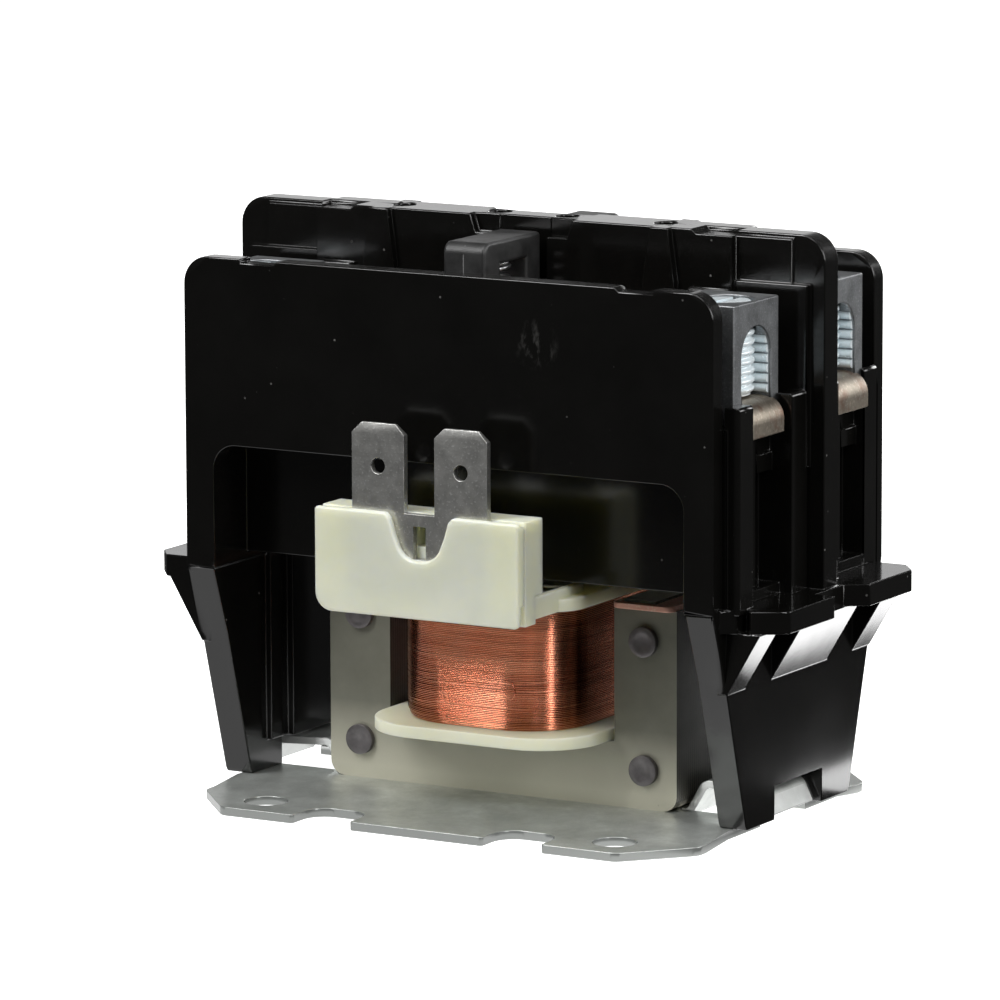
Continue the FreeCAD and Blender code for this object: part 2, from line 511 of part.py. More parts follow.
def contact_carrier():
    """Moulded carrier: a base on the armature and an arch in each pole that holds the moving bridge."""
    base = box(-10, 10, -11.0, 11.0, ARM_TOP, WINDOW_TOP - 0.3)
    cheek = box(-3, 3, -9.2, -STACK_HALF - 0.2, ARM_Z0 + 1.4, ARM_TOP)
    bore = cylinder(PIN_R + 0.05, (0, -12, PIN_Z), (0, 12, PIN_Z))
    stem = box(-BAR_HALF, BAR_HALF, -STEM_Y1, -ARCH_Y0, ARM_TOP, CARRIER_TOP)
    frame = prism("x", [(-ARCH_Y1, SEAT_BOTTOM, 0.6), (-ARCH_Y0, SEAT_BOTTOM, 0), (-ARCH_Y0, CARRIER_TOP, 0),
                        (-ARCH_Y1, CARRIER_TOP, 1.2)], -BAR_HALF, BAR_HALF)
    window = box(-BAR_HALF - 1, BAR_HALF + 1, -OUTER_LEG_Y0, -STEM_Y1, SEAT_TOP, CARRIER_TOP - ARCH_CROWN)
    arch = cut(fuse([frame, stem]), [window])
    return cut(fuse([base, arch, half_turn(arch), cheek, mirror_y(cheek)]), [bore])


def contact_bridge():
    """Moving contact strip of the front pole."""
    return prism("z", [(-BRIDGE_X, -BRIDGE_Y - BRIDGE_HALF_W, 1.0), (BRIDGE_X, -BRIDGE_Y - BRIDGE_HALF_W, 1.0),
                       (BRIDGE_X, -BRIDGE_Y + BRIDGE_HALF_W, 1.0), (-BRIDGE_X, -BRIDGE_Y + BRIDGE_HALF_W, 1.0)],
                 SEAT_TOP, SEAT_TOP + BRIDGE_T)


def bridge_tip():
    return cylinder(TIP_R, (TIP_X, -BRIDGE_Y, SEAT_TOP - TIP_T), (TIP_X, -BRIDGE_Y, SEAT_TOP))


def spring(x, y, z0, z1, radius, bore):
    """A coil spring's envelope as a plain sleeve."""
    sleeve = cylinder(radius, (x, y, z0), (x, y, z1))
    return sleeve.cut(cylinder(bore, (x, y, z0 - 1), (x, y, z1 + 1)))


def main():
    os.makedirs(OUT, exist_ok=True)
    save("mounting_plate", mounting_plate())
    save("housing", housing())

    save("magnet_core", magnet_core())
    save("core_rivets", *[rivet(x, z) for x in (-RIVET_X, RIVET_X) for z in RIVET_ZS])
    save("shading_rings", *pair_x(shading_ring()))
    save("coil_bobbin", coil_bobbin())
    save("coil_winding", coil_winding())
    save("coil_leads", coil_lead(), half_turn(coil_lead()))
    for name, turn in (("front", lambda s: s), ("rear", half_turn)):
        save("terminal_cover_" + name, turn(terminal_cover()))
        save("coil_terminal_" + name, turn(coil_terminal()))
        save("contact_bridge_" + name, turn(contact_bridge()))
        save("bridge_tips_" + name, *[turn(tip) for tip in pair_x(bridge_tip())])
        save("contact_spring_" + name, turn(spring(0, -BRIDGE_Y, SEAT_TOP + BRIDGE_T,
                                                   CARRIER_TOP - ARCH_CROWN, SPRING_R, SPRING_BORE)))
    corners = ("front_right", "front_left", "rear_right", "rear_left")
    for maker, stem in ((strap, "terminal_strap_"), (box_lug, "box_lug_"), (clamp_screw, "clamp_screw_")):
        for corner, shape in zip(corners, four(maker())):
            save(stem + corner, shape)
    save("fixed_contact_tips", *four(fixed_tip()))

    save("contact_carrier", contact_carrier())
    save("armature", armature())
    save("armature_rivets", rivet(-RIVET_X, ARM_RIVET_Z), rivet(RIVET_X, ARM_RIVET_Z))
    save("armature_pin", cylinder(PIN_R, (0, -9.2, PIN_Z), (0, 9.2, PIN_Z)))
    return_spring = spring(RETURN_X, -RETURN_Y, BOBBIN_TOP, ARM_TOP, RETURN_R, RETURN_BORE)
    save("return_springs", return_spring, half_turn(return_spring))


main()
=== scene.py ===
import math
import random

import bmesh
import bpy
from mathutils import Matrix, Vector


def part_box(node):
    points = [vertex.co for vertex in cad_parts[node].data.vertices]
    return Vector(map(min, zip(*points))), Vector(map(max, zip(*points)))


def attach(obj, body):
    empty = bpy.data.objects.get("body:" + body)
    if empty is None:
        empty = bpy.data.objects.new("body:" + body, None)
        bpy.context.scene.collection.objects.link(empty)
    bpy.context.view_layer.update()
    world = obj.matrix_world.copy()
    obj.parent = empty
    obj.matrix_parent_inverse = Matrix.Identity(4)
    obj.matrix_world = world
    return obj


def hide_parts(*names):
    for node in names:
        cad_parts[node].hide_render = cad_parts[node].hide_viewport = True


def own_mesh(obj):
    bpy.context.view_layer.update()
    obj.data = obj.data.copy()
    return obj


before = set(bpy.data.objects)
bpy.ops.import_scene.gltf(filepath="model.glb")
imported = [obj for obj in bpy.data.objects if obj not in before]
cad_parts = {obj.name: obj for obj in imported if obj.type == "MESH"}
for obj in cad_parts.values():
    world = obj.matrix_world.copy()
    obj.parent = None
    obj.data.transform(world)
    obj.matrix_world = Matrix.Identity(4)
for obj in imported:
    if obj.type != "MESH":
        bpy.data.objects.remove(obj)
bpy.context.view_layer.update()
MM = 0.001
CORNERS = ("front_right", "front_left", "rear_right", "rear_left")


# ---- mesh helpers ----

def add_object(name, mesh):
    thing = bpy.data.objects.new(name, mesh)
    bpy.context.scene.collection.objects.link(thing)
    return thing


def finished(thing):
    """Apply an object's modifiers to its mesh."""
    bpy.context.view_layer.update()
    graph = bpy.context.evaluated_depsgraph_get()
    mesh = bpy.data.meshes.new_from_object(thing.evaluated_get(graph))
    thing.modifiers.clear()
    thing.data = mesh
    return thing


def smooth(mesh, angle):
    """Smooth shading, except across edges sharper than the angle in degrees."""
    for face in mesh.polygons:
        face.use_smooth = True
    mesh.set_sharp_from_angle(angle=math.radians(angle))


def add_piece(name, mesh, material, body, nodes):
    """A finished piece that rides a body and stands in for CAD nodes."""
    piece = mesh if isinstance(mesh, bpy.types.Object) else add_object(name, mesh)
    piece.name = name
    piece.data.name = name
    piece.data.materials.clear()
    piece.data.materials.append(material)
    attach(piece, body)
    if nodes:
        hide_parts(*nodes)
    return piece


def mesh_from(name, parts, angle=40):
    """One mesh from several (points in mm, faces) parts."""
    points, faces = [], []
    for part_points, part_faces in parts:
        start = len(points)
        points += [tuple(c * MM for c in p) for p in part_points]
        faces += [tuple(i + start for i in face) for face in part_faces]
    mesh = bpy.data.meshes.new(name)
    mesh.from_pydata(points, [], faces)
    mesh.validate()
    work = bmesh.new()
    work.from_mesh(mesh)
    bmesh.ops.recalc_face_normals(work, faces=work.faces)
    work.to_mesh(mesh)
    work.free()
    smooth(mesh, angle)
    return mesh


def cad_copy(node, name, whole=True):
    """A clean copy of a CAD node's mesh: welded, its flat faces whole or in few triangles."""
    work = bmesh.new()
    work.from_mesh(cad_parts[node].data)
    bmesh.ops.remove_doubles(work, verts=work.verts, dist=0.0005 * MM)
    bmesh.ops.dissolve_limit(work, angle_limit=math.radians(0.8), verts=work.verts, edges=work.edges)
    if not whole:
        many_sided = [face for face in work.faces if len(face.verts) > 4]
        bmesh.ops.triangulate(work, faces=many_sided, ngon_method="BEAUTY")
    mesh = bpy.data.meshes.new(name)
    work.to_mesh(mesh)
    work.free()
    mesh.materials.clear()
    return add_object(name, mesh)


def round_edges(thing, width, segments=2, angle=29):
    """Real rounded edges on every corner sharper than the angle, with flat faces kept flat."""
    for face in thing.data.polygons:
        face.use_smooth = True
    bevel = thing.modifiers.new("edges", "BEVEL")
    bevel.width = width * MM
    bevel.segments = segments
    bevel.limit_method = "ANGLE"
    bevel.angle_limit = math.radians(angle)
    bevel.use_clamp_overlap = False
    bevel.loop_slide = False
    bevel.face_strength_mode = "FSTR_ALL"
    weigh = thing.modifiers.new("flat_faces", "WEIGHTED_NORMAL")
    weigh.use_face_influence = True
    weigh.keep_sharp = True
    return finished(thing)


def tube(path, radius, sides=8, closed=False):
    """A round tube along points, with a frame that keeps Z as near upright as it can."""
    points, faces = [], []
    count = len(path)
    path = [Vector(p) for p in path]
    side_ref = None
    for i, p in enumerate(path):
        ahead = path[(i + 1) % count] if closed or i + 1 < count else p
        behind = path[i - 1] if closed or i else p
        along = (ahead - behind).normalized()
        if side_ref is None:
            side_ref = Vector((0, 0, 1)) if abs(along.z) < 0.8 else Vector((1, 0, 0))
        across = along.cross(side_ref).normalized()
        side_ref = across.cross(along).normalized()
        for k in range(sides):
            turn = 2 * math.pi * k / sides
            points.append(tuple(p + (across * math.cos(turn) + side_ref * math.sin(turn)) * radius))
    rings = count if closed else count - 1
    for i in range(rings):
        j = (i + 1) % count
        for k in range(sides):
            m = (k + 1) % sides
            faces.append((i * sides + k, i * sides + m, j * sides + m, j * sides + k))
    if not closed:
        faces.append(tuple(range(sides)))
        faces.append(tuple((count - 1) * sides + k for k in range(sides)))
    return points, faces


def revolved(profile, centre, axis="z", steps=48):
    """A turned shape: (radius, height) pairs about an axis through a centre, closed at both ends."""
    points, faces = [], []
    for radius, height in profile:
        for k in range(steps):
            turn = 2 * math.pi * k / steps
            u, v = radius * math.cos(turn), radius * math.sin(turn)
            offset = (u, v, height) if axis == "z" else (u, height, v)
            points.append(tuple(c + o for c, o in zip(centre, offset)))
    for i in range(len(profile) - 1):
        for k in range(steps):
            m = (k + 1) % steps
            faces.append((i * steps + k, i * steps + m, (i + 1) * steps + m, (i + 1) * steps + k))
    faces.append(tuple(range(steps)))
    faces.append(tuple((len(profile) - 1) * steps + k for k in range(steps)))
    return points, faces


def extruded(outline, y0, y1):
    """A flat (x, z) outline pushed from y0 to y1."""
    count = len(outline)
    points = [(x, y0, z) for x, z in outline] + [(x, y1, z) for x, z in outline]
    faces = [tuple(range(count)), tuple(range(count, 2 * count))]
    faces += [(i, (i + 1) % count, count + (i + 1) % count, count + i) for i in range(count)]
    return points, faces


def arc(centre, radius, start, end, steps=6):
    """Points on an arc, angles in degrees."""
    angles = [math.radians(start + (end - start) * i / steps) for i in range(steps + 1)]
    return [(centre[0] + radius * math.cos(a), centre[1] + radius * math.sin(a)) for a in angles]


def in_mm(node):
    """A CAD node's box in millimetres."""
    low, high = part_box(node)
    return low / MM, high / MM


# ---- materials ----

class Finish:
    """Builds one procedural material on the principled shader."""

    def __init__(self, name, **sockets):
        self.material = bpy.data.materials.new(name)
        self.material.use_nodes = True
        self.nodes = self.material.node_tree.nodes
        self.links = self.material.node_tree.links
        self.surface = self.nodes["Principled BSDF"]
        for label, value in sockets.items():
            self.surface.inputs[label.replace("_", " ")].default_value = value
        self.place = self.nodes.new("ShaderNodeTexCoord").outputs["Object"]

    def add(self, kind, inputs=(), **settings):
        node = self.nodes.new(kind)
        for key, value in settings.items():
            setattr(node, key, value)
        for key, value in dict(inputs).items():
            if isinstance(value, bpy.types.NodeSocket):
                self.links.new(value, node.inputs[key])
            else:
                node.inputs[key].default_value = value
        return node

    def stretched(self, scale, turn=(0, 0, 0)):
        """Object coordinates scaled and turned."""
        inputs = {"Vector": self.place, "Scale": scale, "Rotation": turn}
        return self.add("ShaderNodeMapping", inputs).outputs["Vector"]

    def noise(self, size, detail=4, rough=0.5, stretch=(1, 1, 1), turn=(0, 0, 0)):
        """Noise whose largest feature is about the given size in mm."""
        vector = self.stretched(stretch, turn)
        inputs = {"Vector": vector, "Scale": 1 / (size * MM), "Detail": detail, "Roughness": rough}
        return self.add("ShaderNodeTexNoise", inputs).outputs["Fac"]

    def specks(self, spacing, radius):
        """Sparse small dots: 1 inside a dot, 0 outside."""
        inputs = {"Vector": self.place, "Scale": 1 / (spacing * MM)}
        cells = self.add("ShaderNodeTexVoronoi", inputs)
        dot = self.steps(cells.outputs["Distance"], [(0, 1), (radius / spacing, 0)])
        keep = self.add("ShaderNodeSeparateColor", {"Color": cells.outputs["Color"]})
        kept = self.steps(keep.outputs["Red"], [(0.55, 0), (0.6, 1)])
        return self.maths("MULTIPLY", dot, kept)

    def steps(self, source, stops):
        """A grey or colour ramp."""
        ramp = self.add("ShaderNodeValToRGB", {"Fac": source})
        stops = [(place, (value, value, value) if isinstance(value, (int, float)) else value)
                 for place, value in stops]
        elements = ramp.color_ramp.elements
        for i, (place, colour) in enumerate(stops):
            element = elements[i] if i < 2 else elements.new(place)
            element.position = place
            element.color = (*colour, 1)
        return ramp.outputs["Color"]

    def blend(self, amount, first, second):
        """A colour mix; each side is a socket or a colour."""
        pairs = {6: first, 7: second}
        node = self.add("ShaderNodeMix", {0: amount}, data_type="RGBA")
        for index, value in pairs.items():
            if isinstance(value, bpy.types.NodeSocket):
                self.links.new(value, node.inputs[index])
            else:
                node.inputs[index].default_value = (*value, 1)
        return node.outputs[2]

    def maths(self, operation, first, second):
        return self.add("ShaderNodeMath", {0: first, 1: second}, operation=operation).outputs[0]

    def size_of(self, source):
        """The value without its sign."""
        return self.add("ShaderNodeMath", {0: source}, operation="ABSOLUTE").outputs[0]

    def facing(self, axis):
        """How far the surface faces along an axis."""
        normal = self.add("ShaderNodeNewGeometry").outputs["True Normal"]
        return self.add("ShaderNodeSeparateXYZ", {"Vector": normal}).outputs[axis]

    def height(self):
        """Height above the floor."""
        return self.add("ShaderNodeSeparateXYZ", {"Vector": self.place}).outputs["Z"]

    def window(self, source, low, high, fade):
        """1 between two positions in mm, fading to 0 over the given width on each side."""
        span = high - low + 2 * fade
        share = self.add("ShaderNodeMapRange", {"Value": source, "From Min": (low - fade) * MM,
                                                "From Max": (high + fade) * MM}).outputs["Result"]
        edge = fade / span
        return self.steps(share, [(0, 0), (edge, 1), (1 - edge, 1), (1, 0)])

    def near(self, point, radius):
        """1 close to a point in mm, fading to 0 at the radius."""
        spot = [c * MM for c in point]
        gap = self.add("ShaderNodeVectorMath", {0: self.place, 1: spot}, operation="DISTANCE")
        return self.steps(self.maths("DIVIDE", gap.outputs["Value"], radius * MM), [(0.2, 1), (1, 0)])

    def colour(self, source):
        self.links.new(source, self.surface.inputs["Base Color"])

    def roughness(self, source, low, high):
        scaled = self.add("ShaderNodeMapRange", {"Value": source, "To Min": low, "To Max": high})
        self.links.new(scaled.outputs["Result"], self.surface.inputs["Roughness"])

    def bump(self, source, height, strength=1.0):
        """Relief of the given height in mm, stacked on any relief already there."""
        inputs = {"Height": source, "Strength": strength, "Distance": height * MM}
        node = self.add("ShaderNodeBump", inputs)
        taken = self.surface.inputs["Normal"].links
        if taken:
            self.links.new(taken[0].from_socket, node.inputs["Normal"])
        self.links.new(node.outputs["Normal"], self.surface.inputs["Normal"])


def black_moulding():
    """Glossy black phenolic: faint flow marks, dust and one scuffed patch."""
    finish = Finish("black_moulding", Specular_IOR_Level=0.5)
    cloud = finish.noise(9, 5, 0.6)
    body = finish.steps(cloud, [(0.3, (0.0022, 0.0021, 0.0018)), (0.75, (0.0042, 0.0040, 0.0036))])
    dust = finish.specks(2.6, 0.16)
    fine = finish.specks(1.2, 0.05)
    scuff = finish.steps(finish.noise(1.6, 6, 0.7, (1, 1, 0.5), (0, 0.6, 0)), [(0.5, 0), (0.75, 1)])
    patch = finish.maths("MULTIPLY", scuff, finish.near((11.2, -19.3, 52.4), 2.8))
    patch = finish.maths("MULTIPLY", patch, 0.6)
    marks = finish.maths("MAXIMUM", dust, patch)
    marks = finish.maths("MAXIMUM", marks, finish.maths("MULTIPLY", fine, 0.35))
    finish.colour(finish.blend(finish.maths("MULTIPLY", marks, 0.32), body, (0.55, 0.54, 0.52)))
    finish.roughness(finish.maths("MAXIMUM", finish.noise(14, 6, 0.65), marks), 0.08, 0.24)
    finish.bump(finish.noise(7, 3, 0.5), 0.03, 0.5)
    finish.bump(finish.noise(0.35, 3, 0.6), 0.004, 0.6)
    return finish.material


def filled_moulding(name, dark, light):
    """Glass-filled black plastic: dull grey skin, dusty."""
    finish = Finish(name)
    body = finish.steps(finish.noise(2.5, 6, 0.7), [(0.35, dark), (0.7, light)])
    dust = finish.maths("MULTIPLY", finish.specks(1.8, 0.07), 0.5)
    finish.colour(finish.blend(dust, body, (0.3, 0.3, 0.29)))
    finish.roughness(finish.noise(1.5, 5, 0.6), 0.34, 0.52)
    finish.bump(finish.noise(0.3, 4, 0.6), 0.006, 0.6)
    return finish.material


def zinc_plate():
    """Zinc-plated sheet: cloudy, with fine rolling lines, dark stains, and cut edges darker near the floor
    and near white higher up.
    """
    finish = Finish("zinc_plate", Metallic=0.6)
    tones = [(0.3, (0.30, 0.315, 0.30)), (0.55, (0.42, 0.44, 0.42)), (0.8, (0.60, 0.63, 0.61))]
    body = finish.steps(finish.noise(4.5, 7, 0.7), tones)
    stain = finish.steps(finish.noise(2.2, 5, 0.75), [(0.68, 0), (0.78, 1)])
    sparkle = finish.steps(finish.noise(0.16, 2, 0.5), [(0.66, 0), (0.72, 1)])
    body = finish.blend(finish.maths("MULTIPLY", stain, 0.55), body, (0.20, 0.20, 0.18))
    body = finish.blend(finish.maths("MULTIPLY", sparkle, 0.35), body, (0.85, 0.87, 0.86))
    # The cut-edge tone is set by height alone: dark below about 1 mm, near white above 1.5 mm.
    raised = finish.steps(finish.maths("DIVIDE", finish.height(), 3 * MM), [(0.35, 0), (0.5, 1)])
    edge_tone = finish.blend(raised, (0.24, 0.25, 0.24), (0.90, 0.91, 0.90))
    cut_edge = finish.steps(finish.size_of(finish.facing("Z")), [(0.3, 1), (0.5, 0)])
    finish.colour(finish.blend(cut_edge, body, edge_tone))
    flat_face = finish.maths("SUBTRACT", 1.0, cut_edge)
    finish.roughness(finish.maths("MULTIPLY", finish.noise(2.0, 6, 0.7), flat_face), 0.22, 0.55)
    finish.bump(finish.noise(0.8, 4, 0.6, (0.06, 1, 1)), 0.006, 0.5)
    finish.bump(finish.noise(0.25, 3, 0.6), 0.004, 0.5)
    return finish.material


def lamination_steel():
    """Oiled electrical sheet: greenish grey, lighter at the foot as painted light, with painted shade on
    the flanks and painted light on the pole faces.
    """
    finish = Finish("lamination_steel", Metallic=0.45)
    cloud = finish.noise(7, 6, 0.6)
    body = finish.steps(cloud, [(0.3, (0.150, 0.150, 0.118)), (0.7, (0.205, 0.205, 0.165))])
    stains = finish.steps(finish.noise(1.6, 5, 0.7), [(0.7, 0), (0.8, 1)])
    spots = finish.maths("MAXIMUM", finish.specks(3.4, 0.12), stains)
    # Painted shade: faces turned along X, the stack's flanks, are darkened almost to black.
    painted_flank_shade = finish.steps(finish.size_of(finish.facing("X")), [(0.6, 0), (0.95, 1)])
    # Painted light: faces turned upward, the pole faces, are painted pale.
    painted_pole_light = finish.steps(finish.facing("Z"), [(0.6, 0), (0.95, 1)])
    # Painted light: the colour turns lighter near the foot and fades out by 10 mm up.
    foot = finish.steps(finish.maths("DIVIDE", finish.height(), 20 * MM), [(0.15, 1), (0.5, 0)])
    body = finish.blend(foot, body, (0.60, 0.58, 0.47))
    body = finish.blend(finish.maths("MULTIPLY", painted_flank_shade, 0.9), body, (0.012, 0.011, 0.009))
    body = finish.blend(painted_pole_light, body, (0.62, 0.63, 0.59))
    finish.colour(finish.blend(finish.maths("MULTIPLY", spots, 0.6), body, (0.07, 0.066, 0.05)))
    finish.roughness(finish.noise(3, 6, 0.65), 0.36, 0.56)
    finish.bump(finish.noise(0.22, 4, 0.65), 0.005, 0.6)
    return finish.material


def rivet_steel():
    """Headed rivets: darker, purple grey and cloudy."""
    finish = Finish("rivet_steel", Metallic=0.6)
    tones = [(0.3, (0.10, 0.092, 0.094)), (0.75, (0.18, 0.168, 0.171))]
    finish.colour(finish.steps(finish.noise(1.4, 5, 0.6), tones))
    finish.roughness(finish.noise(0.8, 5, 0.6), 0.32, 0.5)
    finish.bump(finish.noise(0.3, 4, 0.6), 0.006, 0.6)
    return finish.material


def nylon():
    """Natural nylon: translucent greenish cream with soft mottling and a slight skin."""
    finish = Finish("natural_nylon", Subsurface_Weight=0.8, Subsurface_Scale=0.004, IOR=1.53)
    finish.surface.inputs["Subsurface Radius"].default_value = (1.0, 0.9, 0.6)
    body = finish.steps(finish.noise(8, 4, 0.5), [(0.3, (0.70, 0.71, 0.53)), (0.7, (0.77, 0.775, 0.60))])
    spots = finish.specks(4.2, 0.07)
    finish.colour(finish.blend(finish.maths("MULTIPLY", spots, 0.5), body, (0.34, 0.31, 0.20)))
    finish.roughness(finish.noise(5, 5, 0.6), 0.34, 0.52)
    finish.bump(finish.noise(3.5, 3, 0.5), 0.03, 0.4)
    finish.bump(finish.noise(0.3, 3, 0.6), 0.004, 0.5)
    return finish.material


def magnet_wire():
    """Enamelled copper wire: every turn a little different in tone."""
    finish = Finish("enamelled_copper", Metallic=1.0, Coat_Weight=0.35, Coat_Roughness=0.12)
    bands = finish.noise(1.1, 4, 0.7, (0.05, 0.05, 1))
    tones = [(0.3, (0.44, 0.14, 0.07)), (0.5, (0.68, 0.25, 0.14)), (0.72, (0.86, 0.40, 0.25))]
    body = finish.steps(bands, tones)
    dull = finish.steps(finish.noise(4.5, 4, 0.6), [(0.45, 0), (0.75, 1)])
    finish.colour(finish.blend(finish.maths("MULTIPLY", dull, 0.35), body, (0.52, 0.30, 0.22)))
    finish.roughness(finish.noise(3.5, 4, 0.6), 0.12, 0.24)
    return finish.material


def metal(name, tones, rough, grain=0.3, relief=0.005, mark=None, metallic=0.95):
    """A plated or bare metal: cloudy tone, fine grain and optional coloured tarnish."""
    finish = Finish(name, Metallic=metallic)
    body = finish.steps(finish.noise(2.6, 7, 0.75), [(0.3, tones[0]), (0.72, tones[1])])
    bright = finish.steps(finish.noise(grain, 2, 0.5), [(0.58, 0), (0.70, 1)])
    glint = tuple(min(1.6 * c, 0.95) for c in tones[1])
    body = finish.blend(finish.maths("MULTIPLY", bright, 0.45), body, glint)
    if mark:
        stain = finish.steps(finish.noise(2.2, 5, 0.7), [(0.5, 0), (0.68, 1)])
        body = finish.blend(finish.maths("MULTIPLY", stain, 0.75), body, mark)
    finish.colour(body)
    finish.roughness(finish.noise(0.9, 6, 0.7), *rough)
    finish.bump(finish.noise(grain, 4, 0.65), relief, 0.7)
    return finish.material


MATERIALS = {
    "black_moulding": black_moulding(),
    "zinc_plate": zinc_plate(),
    "lamination_steel": lamination_steel(),
    "rivet_steel": rivet_steel(),
    "natural_nylon": nylon(),
    "enamelled_copper": magnet_wire(),
    "copper": metal("copper", ((0.78, 0.38, 0.28), (0.92, 0.54, 0.42)), (0.30, 0.48), metallic=0.3),
    "tinned_brass": metal("tinned_brass", ((0.38, 0.38, 0.365), (0.62, 0.615, 0.59)), (0.30, 0.50),
                          0.28, 0.02),
    "strap_copper": metal("strap_copper", ((0.31, 0.27, 0.22), (0.50, 0.44, 0.36)), (0.30, 0.48),
                          0.3, 0.006, (0.24, 0.13, 0.09)),
    "silver_contact": metal("silver_contact", ((0.62, 0.61, 0.58), (0.82, 0.80, 0.77)), (0.22, 0.40)),
    "lug_aluminium": metal("lug_aluminium", ((0.17, 0.175, 0.18), (0.35, 0.36, 0.37)), (0.36, 0.55),
                           0.22, 0.012),
    "zinc_screw": metal("zinc_screw", ((0.70, 0.80, 0.84), (0.88, 0.93, 0.95)), (0.16, 0.34),
                        0.4, 0.008, metallic=0.25),
    "spring_steel": metal("spring_steel", ((0.34, 0.34, 0.35), (0.52, 0.52, 0.53)), (0.22, 0.40)),
}


# ---- pieces that keep the CAD shape, with real rounded edges ----

def softened(node, slot, body, width, segments=2, whole=True):
    piece = round_edges(cad_copy(node, node + "_shape", whole), width, segments)
    return add_piece(node + "_shape", piece, MATERIALS[slot], body, [node])


def moulded_pieces():
    softened("housing", "black_moulding", "base", 0.16, 2, False)
    softened("coil_bobbin", "natural_nylon", "base", 0.16, 3, False)
    for side in ("front", "rear"):
        softened("terminal_cover_" + side, "natural_nylon", "base", 0.28, 3, False)


def metal_pieces():
    softened("mounting_plate", "zinc_plate", "base", 0.1)
    softened("shading_rings", "copper", "base", 0.1)
    for corner in CORNERS:
        softened("terminal_strap_" + corner, "strap_copper", "base", 0.14)
        softened("box_lug_" + corner, "lug_aluminium", "base", 0.18)
    for side in ("front", "rear"):
        softened("contact_bridge_" + side, "strap_copper", "bridge_" + side, 0.15)


def coil_terminals():
    """The tabs' tips are coined thinner over their last millimetre."""
    coined, thinned = 1.0, 0.5
    for side in ("front", "rear"):
        node = "coil_terminal_" + side
        piece = cad_copy(node, node + "_shape")
        low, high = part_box(node)
        start = high.z - coined * MM
        middle = (low.y + high.y) / 2
        work = bmesh.new()
        work.from_mesh(piece.data)
        everything = work.verts[:] + work.edges[:] + work.faces[:]
        bmesh.ops.bisect_plane(work, geom=everything, plane_co=(0, 0, start), plane_no=(0, 0, 1), dist=1e-7)
        for vert in work.verts:
            along = max(0.0, (vert.co.z - start) / (high.z - start))
            vert.co.y = middle + (vert.co.y - middle) * (1 - thinned * along)
        work.to_mesh(piece.data)
        work.free()
        round_edges(piece, 0.06, 2, 30)
        add_piece(node + "_shape", piece, MATERIALS["tinned_brass"], "base", [node])


# ---- magnet ----

SHEET = 0.47           # thickness of one lamination and its gap to the next
SHEET_GAP = 0.025
RIVET_HEAD = 1.65      # radius of a rivet's head


def stack(name, node, outline, body):
    """A laminated stack: separate sheets of one outline."""
    low, high = in_mm(node)
    count = round((high.y - low.y) / SHEET)
    pitch = (high.y - low.y) / count
    sheets = [extruded(outline, low.y + i * pitch + SHEET_GAP / 2, low.y + (i + 1) * pitch - SHEET_GAP / 2)
              for i in range(count)]
    mesh = mesh_from(name, sheets, 30)
    add_piece(name, mesh, MATERIALS["lamination_steel"], body, [node])


def mirrored(half):
    """An outline from its right half, listed from bottom centre to top centre."""
    return half + [(-x, z) for x, z in reversed(half)]


def core_sheets():
    low, high = in_mm("magnet_core")
    ring = in_mm("shading_rings")[0].z
    yoke_top, centre_x, inner_x, chamfer = low.z + 7.0, 6.3, 13.8, 1.7
    inner_step, outer_step, centre_gap = 1.2, 2.5, 0.15
    half = [(high.x - chamfer, low.z)] + arc((high.x - chamfer, low.z + chamfer), chamfer, -75, 0)
    half += [(high.x, ring), (high.x - outer_step, ring), (high.x - outer_step, high.z),
             (inner_x + inner_step, high.z), (inner_x + inner_step, ring), (inner_x, ring),
             (inner_x, yoke_top), (centre_x, yoke_top), (centre_x, high.z - centre_gap)]
    stack("core_sheets", "magnet_core", mirrored(half), "base")


def armature_sheets():
    low, high = in_mm("armature")
    centre_x, inner_x, depth, corner = 6.3, 13.8, 2.0, 0.8
    half = [(centre_x, low.z), (centre_x, low.z + depth), (inner_x, low.z + depth), (inner_x, low.z),
            (high.x, low.z)] + arc((high.x - corner, high.z - corner), corner, 0, 90)
    stack("armature_sheets", "armature", mirrored(half), "carrier")


def rivets(name, node, body, places):
    """Rivets through a stack, their heads rounded and slightly dished by the heading tool."""
    low = in_mm(node)[0]
    shank, tall, soft, dish_r, dish = 1.2, 0.6, 0.08, 0.9, 0.02
    profile = [(dish_r, low.y + dish), (dish_r + 0.05, low.y), (RIVET_HEAD - soft, low.y),
               (RIVET_HEAD - 0.3 * soft, low.y + 0.3 * soft), (RIVET_HEAD, low.y + soft),
               (RIVET_HEAD, low.y + tall), (shank, low.y + tall)]
    profile += [(r, -y) for r, y in reversed(profile)]
    parts = [revolved(profile, (x, 0, z), "y") for x, z in places]
    mesh = mesh_from(name, parts, 35)
    add_piece(name, mesh, MATERIALS["rivet_steel"], body, [node])


def magnet():
    core_sheets()
    armature_sheets()
    low, high = in_mm("core_rivets")
    columns = (low.x + RIVET_HEAD, high.x - RIVET_HEAD)
    rows = (low.z + RIVET_HEAD, high.z - RIVET_HEAD)
    rivets("core_rivet_set", "core_rivets", "base", [(x, z) for x in columns for z in rows])
    low, high = in_mm("armature_rivets")
    columns = (low.x + RIVET_HEAD, high.x - RIVET_HEAD)
    middle = (low.z + high.z) / 2
    rivets("armature_rivet_set", "armature_rivets", "carrier", [(x, middle) for x in columns])


# ---- winding ----

WIRE = 0.19            # the fine wire, with its enamel
CORNER_R = 7.0         # the winding's corners, where its turns sit deepest
CORNER_CUT = 0.35      # how much tighter the corners of the turns that stand out are
DEEP_X = 10.6          # where that starts


